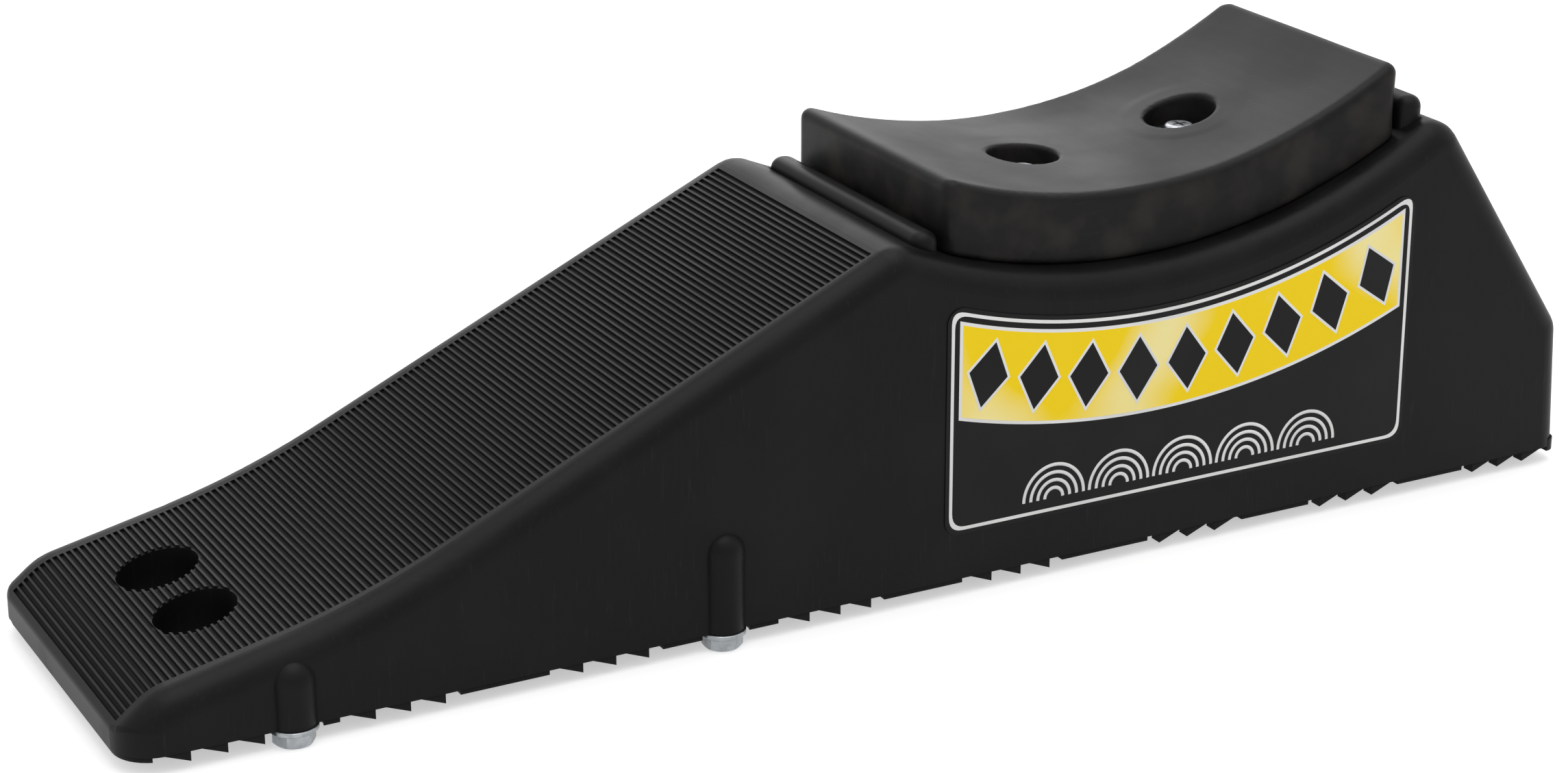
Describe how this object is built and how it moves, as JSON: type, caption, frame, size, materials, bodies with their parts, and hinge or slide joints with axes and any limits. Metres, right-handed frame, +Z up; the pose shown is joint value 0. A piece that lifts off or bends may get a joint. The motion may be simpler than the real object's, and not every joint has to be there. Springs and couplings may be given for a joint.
{
  "type": "tandem trailer ramp",
  "caption": "Drive-on moulded ramp that lifts one wheel of a twin-axle trailer, with a rubber pad in its curved saddle.",
  "frame": {"origin": "on the ground, under the middle of the ramp's length and width", "axes": "+X from the nose towards the rear end, +Y from the labelled side to the other side, +Z up"},
  "size_m": [0.61, 0.1534, 0.175],
  "materials": {
    "body_plastic": "satin",
    "pad_rubber": "matte",
    "zinc_steel": "satin",
    "insert_brass": "satin",
    "label_film": "satin"
  },
  "bodies": {
    "root": {"ramp_body": "body_plastic", "saddle_pad": "pad_rubber", "side_label": "label_film", "pad_screw_front": "zinc_steel", "pad_screw_rear": "zinc_steel", "pad_washer_front": "zinc_steel", "pad_washer_rear": "zinc_steel", "pad_insert_front": "insert_brass", "pad_insert_rear": "insert_brass", "sole_bolt_front_near": "zinc_steel", "sole_bolt_front_far": "zinc_steel", "sole_bolt_middle_near": "zinc_steel", "sole_bolt_middle_far": "zinc_steel", "sole_washer_front_near": "zinc_steel", "sole_washer_front_far": "zinc_steel", "sole_washer_middle_near": "zinc_steel", "sole_washer_middle_far": "zinc_steel", "sole_insert_front_near": "insert_brass", "sole_insert_front_far": "insert_brass", "sole_insert_middle_near": "insert_brass", "sole_insert_middle_far": "insert_brass"}
  },
  "joints": []
}
